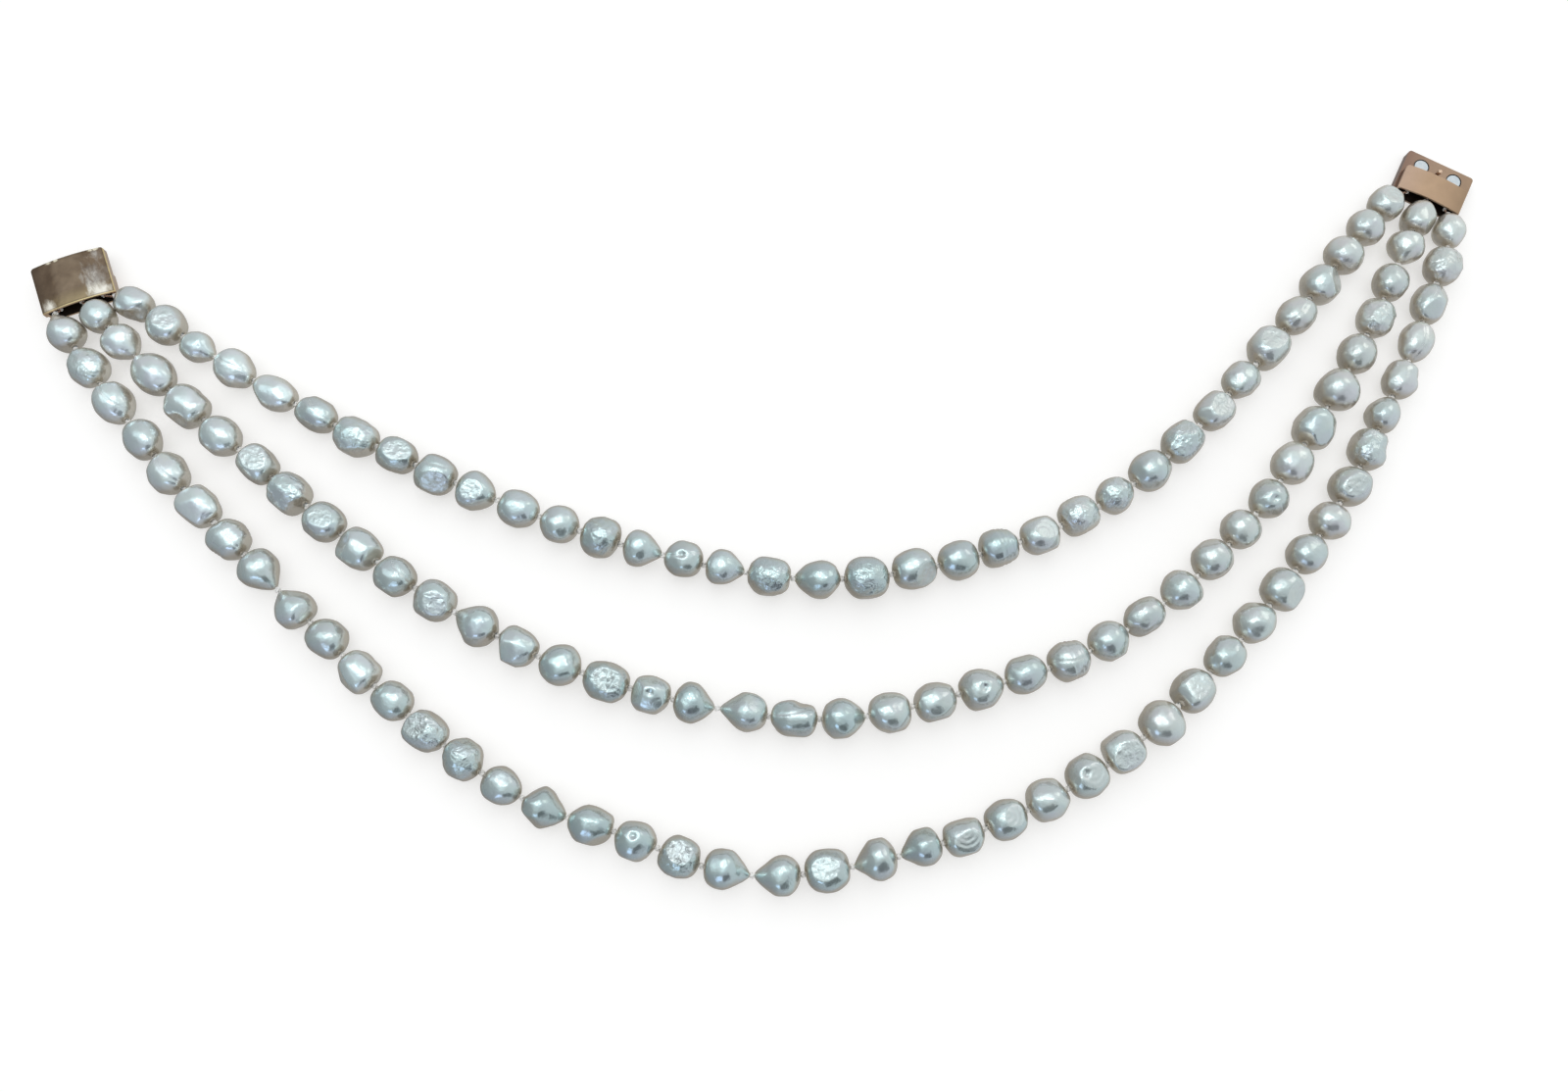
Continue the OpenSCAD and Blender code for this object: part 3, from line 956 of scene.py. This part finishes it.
def edge_lines(s, spot, top, colour):
    """A dark line all round the cover's top, and a painted gold highlight at its right and mouth
    edges.
    """
    sideways, inward, _ = s.separate(spot)
    far_edge = s.minus(HALF_LEN, inward)
    right_edge = s.minus(CLASP_W / 2, sideways)
    left_edge = s.plus(CLASP_W / 2, sideways)
    right_and_mouth_gap = s.least(right_edge, inward)
    gap = s.least(s.least(left_edge, far_edge), right_and_mouth_gap)
    dark_line = s.times(s.span(gap, 0.65, 0.45), top)
    colour = s.mix(s.times(dark_line, 0.5), colour, (0.19, 0.13, 0.08))
    # Painted highlight: a gold line along the right and mouth edges
    painted_gold_highlight = s.times(s.span(right_and_mouth_gap, 0.32, 0.2), top)
    return s.mix(s.times(painted_gold_highlight, 0.9), colour, (0.88, 0.69, 0.36))


def painted_edge_flecks(s, spot, wisps):
    """Painted highlights in flecks along the cover's far edge."""
    flecks = 0.0
    for x, size in FLECKS:
        fleck = patch(s, spot, (x, HALF_LEN - 0.25, 4.6), (size, 0.55, 3.0))
        flecks = s.most(flecks, fleck)
    return s.span(s.plus(flecks, s.times(wisps, 0.4)), 0.45, 0.8)


def make_polished():
    """Brown-gold mirror, with painted reflections: a milky sheen in streaks on the right, and bright
    highlights at the mouth and on the far edge.
    """
    s = Shader("polished")
    spot = half_place(s)
    top = s.span(s.separate(s.add("TexCoord").outputs["Normal"])[2], 0.6, 0.9)
    drawn = s.vector("MULTIPLY", spot, (1.2, 0.5, 1.0))
    streak = s.add(
        "TexNoise",
        {"Vector": drawn, "Scale": 0.8, "Detail": 3.0, "Roughness": 0.5, "Distortion": 0.5},
    ).outputs["Fac"]
    wisps = s.span(streak, 0.3, 0.7)

    # Painted reflection: a milky sheen on the right of the top
    sheen_patch_mask = s.most(patch(s, spot, *SIDE_PAINTED_SHEEN), patch(s, spot, *CORNER_PAINTED_SHEEN))
    painted_sheen = s.span(s.plus(sheen_patch_mask, s.times(wisps, 0.5)), 0.55, 1.3)
    # Painted highlights at the left corner and at the right of the mouth
    left_corner_highlight = s.times(patch(s, spot, *LEFT_CORNER_HIGHLIGHT), 1.2)
    right_mouth_highlight = s.times(patch(s, spot, *RIGHT_MOUTH_HIGHLIGHT), 1.2)
    bright = s.plus(s.most(left_corner_highlight, right_mouth_highlight), s.times(wisps, 0.45))
    bright = s.times(s.span(bright, 0.5, 1.25), top)
    flecks = painted_edge_flecks(s, spot, wisps)

    colour = brown_and_painted_reflection(s, spot, top)
    # Painted reflection and highlights laid over the ground
    colour = s.mix(s.times(s.times(painted_sheen, top), 0.75), colour, (0.68, 0.63, 0.58))
    colour = s.mix(bright, colour, (1.0, 0.96, 0.86))
    colour = edge_lines(s, spot, top, colour)
    # Painted highlights: cream flecks on the far edge
    colour = s.mix(s.times(flecks, 0.85), colour, (1.0, 0.92, 0.72))
    bright = s.most(bright, s.times(flecks, 0.6))

    height = s.plus(s.noise(230.0, 2.0), s.times(s.noise(700.0, 2.0), 0.12))
    height = s.plus(height, s.times(painted_sheen, s.times(streak, 0.5)))
    return s.surface(
        Base_Color=colour,
        Metallic=s.minus(1.0, s.times(bright, 0.6)),
        Roughness=s.plus(0.2, s.times(bright, 0.15)),
        Normal=s.bump(height, 0.5, 0.0003),
        Coat_Weight=0.5,
        Coat_Roughness=0.08,
    )


def make_edge_with_painted_glints(name, deep, light):
    """An edge that is dark in most places, with painted highlights in bright flecks."""
    s = Shader(name)
    tint = s.ramp(s.noise(480.0, 2.0), [(0.50, deep), (0.60, light)])
    return s.surface(Base_Color=tint, Metallic=0.5, Roughness=0.25)


def make_satin():
    """Rose-tan metal with a fine matt grain, darker at the plate's left, and a painted sheen that
    makes the box pale at its left and darker to its right.
    """
    s = Shader("satin")
    sideways, _, height = s.separate(half_place(s))
    plate = s.ramp(
        s.span(sideways, -CLASP_W / 2, CLASP_W / 2),
        [(0.0, (0.31, 0.205, 0.16)), (0.45, (0.42, 0.30, 0.22)), (1.0, (0.40, 0.285, 0.20))],
    )
    # Painted sheen: the box is pale at its left and darker towards its right
    box = s.ramp(
        s.span(sideways, -BOX_HALF, BOX_HALF),
        [(0.0, (0.74, 0.53, 0.40)), (0.35, (0.56, 0.395, 0.27)), (1.0, (0.44, 0.31, 0.205))],
    )
    tint = s.mix(s.span(height, BOX_LOW, BOX_HIGH), plate, box)
    cloud = s.ramp(s.noise(260.0, 4.0), [(0.3, (0.88, 0.88, 0.88)), (0.7, (1.0, 1.0, 1.0))])
    return s.surface(
        Base_Color=s.mix(1.0, tint, cloud, "MULTIPLY"),
        Metallic=1.0,
        Roughness=0.38,
        Normal=s.bump(s.noise(4000.0, 2.0), 0.15, 0.00004),
    )


def make_nickel():
    """Pale blue-grey plating with lighter, duller spots."""
    s = Shader("nickel")
    spots = s.span(s.noise(900.0, 4.0), 0.35, 0.65)
    colour = s.mix(spots, (0.50, 0.58, 0.64), (0.74, 0.79, 0.82))
    dull = s.plus(0.3, s.times(spots, 0.2))
    return s.surface(Base_Color=colour, Metallic=0.85, Roughness=dull)


def make_pin():
    """Rose metal, with a painted highlight that makes the ball bright and painted shadow that darkens
    it round its foot.
    """
    s = Shader("pin")
    height = s.separate(s.add("TexCoord").outputs["Object"])[2]
    ragged_height = s.plus(height, s.times(s.noise(900.0, 2.0), 0.0003))
    # Painted shadow at the foot and painted highlight on the ball, with a ragged line between them
    ball = s.span(ragged_height, PIN_FOOT, PIN_BALL)
    colour = s.mix(ball, (0.22, 0.09, 0.05), (0.95, 0.70, 0.52))
    return s.surface(Base_Color=colour, Metallic=0.9, Roughness=0.24)


# Stage

# Brightness of the studio from its dim side at 0 to its light side at 1
SKY = ((0.0, 0.26), (0.12, 0.30), (0.3, 0.44), (0.5, 0.50), (0.8, 0.64), (1.0, 0.76))
SKY_LIGHT_SIDE = (0.95, 0.25, 0.1)
SKY_TINT = (0.97, 0.99, 1.0)

ROOM_R = 15000
ROOM_SIDES = 64
FLOOR_Z = -0.02
# A dark card that the pearls reflect below their middle
CARD_PLACE = (110, -320, 200)
CARD_SIZE = (280, 210)

# Small bright lamps over the necklace, in metres
BULBS = ((-0.17, 0.04), (-0.1, 0.14), (-0.04, 0.01), (0.03, 0.13), (0.1, 0.03))
BULB_Z = 0.35
BULB_SIZE = 0.024
BULB_LIGHT = 9.5

# The camera's lens and place, fitted to the photo's view
LENS = 29.25
SENSOR = 36
CAMERA = (
    (0.99955, -0.0063, -0.02943, -0.00619),
    (0.0, 0.97785, -0.2093, -0.07682),
    (0.0301, 0.2092, 0.9774, 0.3015),
    (0, 0, 0, 1),
)


def hide(obj, *rays):
    """Hides an object from these kinds of rays."""
    for ray in rays:
        setattr(obj, "visible_" + ray, False)


def room_ring(z):
    """Points of the room's wall at one height."""
    turn = np.linspace(0, 2 * math.pi, ROOM_SIDES, endpoint=False)
    return ROOM_R * np.stack([np.cos(turn), np.sin(turn), 0 * turn], 1) + [0, 0, z]


def make_floor():
    """A pale floor that takes shadows and glows, and isn't mirrored in the pearls."""
    floor = new_mesh("floor", room_ring(FLOOR_Z), [list(range(ROOM_SIDES))])
    s = Shader("floor")
    floor.data.materials.append(
        s.surface(
            Base_Color=(0.6, 0.6, 0.6, 1),
            Roughness=0.9,
            Specular_IOR_Level=0.1,
            Emission_Color=(1.0, 0.995, 0.985, 1),
            Emission_Strength=0.5,
        )
    )
    hide(floor, "glossy")


def make_wall():
    """A pale wall that only the camera sees."""
    n = ROOM_SIDES
    faces = [[k, (k + 1) % n, n + (k + 1) % n, n + k] for k in range(n)]
    wall = new_mesh("wall", np.concatenate([room_ring(FLOOR_Z), room_ring(ROOM_R)]), faces)
    s = Shader("wall")
    wall.data.materials.append(
        s.surface(
            Base_Color=(0, 0, 0, 1),
            Emission_Color=(0.93, 0.94, 0.95, 1),
            Emission_Strength=1.0,
        )
    )
    hide(wall, "diffuse", "glossy", "transmission", "shadow")


def make_sky():
    """The studio as the pearls mirror it: bright on one side, dim on the other, without a seam."""
    world = bpy.data.worlds.new("studio")
    world.use_nodes = True
    tree = world.node_tree
    ray = tree.nodes.new("ShaderNodeTexCoord")
    side = tree.nodes.new("ShaderNodeVectorMath")
    side.operation = "DOT_PRODUCT"
    side.inputs[1].default_value = unit(np.array(SKY_LIGHT_SIDE))
    share = tree.nodes.new("ShaderNodeMapRange")
    share.inputs["From Min"].default_value = -1.0
    ramp = tree.nodes.new("ShaderNodeValToRGB")
    glow = ramp.color_ramp.elements
    while len(glow) < len(SKY):
        glow.new(0.5)
    for element, (place, light) in zip(glow, SKY):
        element.position = place
        element.color = (*(light * tint for tint in SKY_TINT), 1)
    tree.links.new(ray.outputs["Generated"], side.inputs[0])
    tree.links.new(side.outputs["Value"], share.inputs["Value"])
    tree.links.new(share.outputs["Result"], ramp.inputs["Fac"])
    tree.links.new(ramp.outputs["Color"], tree.nodes["Background"].inputs["Color"])
    bpy.context.scene.world = world
    bpy.context.scene.view_settings.view_transform = "Standard"


def area(name, place, size, radiance, colour):
    """A lamp that faces the scene's middle and shows only in the pearls and the metal."""
    light = bpy.data.lights.new(name, "AREA")
    light.shape = "RECTANGLE"
    light.size, light.size_y = size
    light.energy = radiance * math.pi * size[0] * size[1]
    light.color = colour
    obj = bpy.data.objects.new(name, light)
    obj.location = place
    obj.rotation_euler = (-Vector(place)).to_track_quat("-Z", "Y").to_euler()
    hide(obj, "camera", "diffuse")
    bpy.context.scene.collection.objects.link(obj)


def make_lamps():
    """Two broad lamps and five bulbs overhead, and three lamps at the sides."""
    area("glow", (-0.04, 0.07, 0.4), (0.66, 0.5), 0.24, (0.82, 0.96, 1.0))
    area("lamp", (-0.04, 0.07, 0.36), (0.32, 0.24), 0.7, (0.92, 1.0, 1.0))
    for k, (x, y) in enumerate(BULBS):
        area(f"bulb_{k}", (x, y, BULB_Z), (BULB_SIZE, BULB_SIZE), BULB_LIGHT, (1.0, 1.0, 1.0))
    area("right", (0.36, 0.24, 0.3), (0.2, 0.16), 0.7, (1.0, 0.96, 0.9))
    area("left", (-0.3, 0.1, 0.3), (0.2, 0.2), 0.4, (0.8, 0.95, 1.0))
    area("low", (-0.14, -0.36, 0.2), (0.14, 0.1), 1.5, (0.55, 0.72, 1.0))


def make_card():
    """The dark card, turned to the scene's middle and seen only as a reflection."""
    x, y = np.meshgrid([-0.5, 0.5], [-0.5, 0.5])
    corners = np.stack([x * CARD_SIZE[0], y * CARD_SIZE[1], 0 * x], 2).reshape(-1, 3)
    card = new_mesh("card", corners, [[0, 1, 3, 2]])
    s = Shader("card")
    card.data.materials.append(s.surface(Base_Color=(0.02, 0.02, 0.02, 1), Roughness=1.0))
    card.location = Vector(CARD_PLACE) * MM
    card.rotation_euler = (-card.location).to_track_quat("Z", "Y").to_euler()
    hide(card, "camera", "diffuse", "transmission", "shadow")


def make_fill():
    """Soft light on everything, which isn't mirrored."""
    fill = bpy.data.lights.new("fill", "SUN")
    fill.energy = 1.32
    fill.angle = math.radians(90)
    obj = bpy.data.objects.new("fill", fill)
    obj.rotation_euler = Vector((0.3, -0.4, -1.0)).to_track_quat("-Z", "Y").to_euler()
    hide(obj, "glossy")
    bpy.context.scene.collection.objects.link(obj)


def make_camera():
    """The photo's view."""
    camera = bpy.data.objects.new("camera", bpy.data.cameras.new("camera"))
    camera.data.lens = LENS
    camera.data.sensor_width = SENSOR
    camera.data.clip_start = 0.01
    camera.matrix_world = Matrix(CAMERA)
    bpy.context.scene.collection.objects.link(camera)
    bpy.context.scene.camera = camera


# Pieces

nacre = make_nacre()
silk = make_plain("silk", (0.98, 0.975, 0.96), 0.0, 0.6)
polished = make_polished()
satin = make_satin()
# Painted shade: near black in the hollows of the clasp's mouths
painted_hollow_shade = make_plain("painted_hollow_shade", (0.05, 0.035, 0.025), 0.6, 0.5)
copper = make_plain("copper", (0.62, 0.36, 0.25), 1.0, 0.2)
# The cover's broken edges, with painted highlights in bright flecks
gold = make_edge_with_painted_glints("gold_edge", (0.50, 0.36, 0.18), (1.0, 0.93, 0.74))
# Painted highlight: the base's broken edges are far paler than its satin
rose = make_plain("rose_edge", (0.92, 0.72, 0.52), 1.0, 0.3)
nickel = make_nickel()
# Painted shade: near black, standing in for the dark gap round each magnet in its seat
rim = make_plain("nickel_rim", (0.10, 0.10, 0.11), 0.8, 0.4)

for strand in STRANDS:
    make_silk(strand, make_pearls(strand, nacre), silk, copper)

# Each half's surfaces are those of its body, the hollow in its mouth, its eyes and its edges
cover_looks = [polished, painted_hollow_shade, copper, gold]
base_looks = [satin, painted_hollow_shade, copper, rose]
# The magnets' broken edges take the near-black rim, painted shade
magnet_looks = [nickel, rim, rim, rim]
bevelled("clasp_cover", COVER, "cover_half", COVER_EDGE, cover_looks, clasp_zone)
bevelled("clasp_base", BASE, "base_half", BASE_EDGE, base_looks, clasp_zone)
for place, half in ((COVER, "cover"), (BASE, "base")):
    for side in ("left", "right"):
        node = half + "_magnet_" + side
        bevelled(node, place, node + "_disc", MAGNET_EDGE, magnet_looks, plain_zone)
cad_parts["catch_pin"].data.materials.clear()
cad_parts["catch_pin"].data.materials.append(make_pin())

make_floor()
make_wall()
make_sky()
make_lamps()
make_card()
make_fill()
make_camera()
